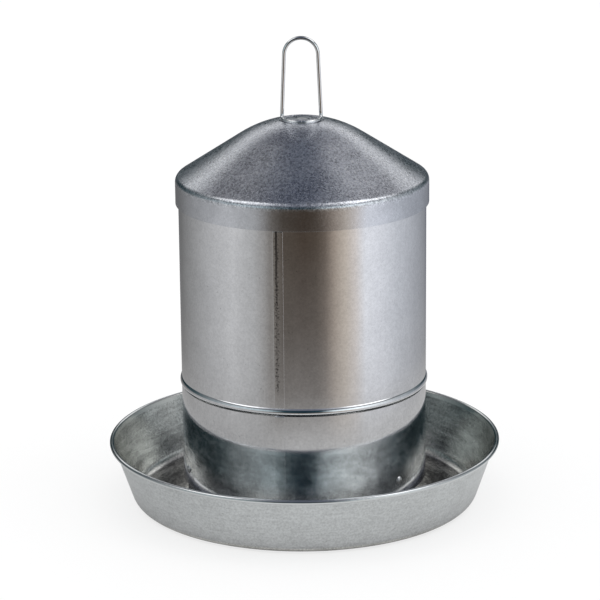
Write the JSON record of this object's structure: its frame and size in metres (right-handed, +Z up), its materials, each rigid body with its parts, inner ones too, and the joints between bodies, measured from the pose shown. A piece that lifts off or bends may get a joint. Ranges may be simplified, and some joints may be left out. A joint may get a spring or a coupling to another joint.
{
  "type": "poultry waterer fount",
  "caption": "Galvanised double-wall waterer for poultry: round drinking pan with a wired rim, inner tank, lift-off shell with conical roof and a wire bail.",
  "frame": {"origin": "centre of the pan's underside, on the floor that it stands on", "axes": "+Z up along the fount's axis; -Y is the front; the bail's eye opens along Y, with its legs at +X and -X"},
  "size_m": [0.321, 0.321, 0.3848],
  "materials": {
    "galvanised_pan": "matte zinc coating, lightly mottled",
    "galvanised_shell": "bright zinc coating, glossy with fine drawn lines",
    "galvanised_roof": "matte grained zinc coating",
    "galvanised_tank": "zinc coating, satin",
    "galvanised_bracket": "zinc coating, satin",
    "galvanised_cap": "zinc coating with a visible crystal pattern",
    "steel_wire": "bright zinc-coated wire",
    "rivet_steel": "zinc-plated steel",
    "solder": "dull lead-free solder",
    "rubber_seal": "matte black rubber"
  },
  "bodies": {
    "base": {"pan": "galvanised_pan", "pan_rim_wire": "steel_wire", "tank_wall": "galvanised_tank", "tank_rim_wire": "steel_wire", "tank_seal": "solder", "keeper_bracket_1": "galvanised_bracket", "keeper_bracket_2": "galvanised_bracket", "keeper_bracket_3": "galvanised_bracket", "keeper_rivets": "rivet_steel", "keeper_solder": "solder"},
    "apex_fastening": {"roof_cap": "galvanised_cap", "cap_rivet": "rivet_steel", "cap_seal": "rubber_seal"},
    "shell": {"shell_wall": "galvanised_shell", "keeper_pins": "rivet_steel", "pin_washers": "rubber_seal", "roof": "galvanised_roof", "roof_solder": "solder", "bail": "steel_wire", "bail_solder": "solder"}
  },
  "joints": [
    {"name": "shell_lift", "type": "slide", "parent": "base", "child": "apex_fastening", "axis": [0, 0, 1], "range_m": [0, 0.26]},
    {"name": "shell_turn", "type": "hinge", "parent": "apex_fastening", "child": "shell", "pos_m": [0, 0, 0], "axis": [0, 0, 1], "range_deg": [0, 5]}
  ]
}
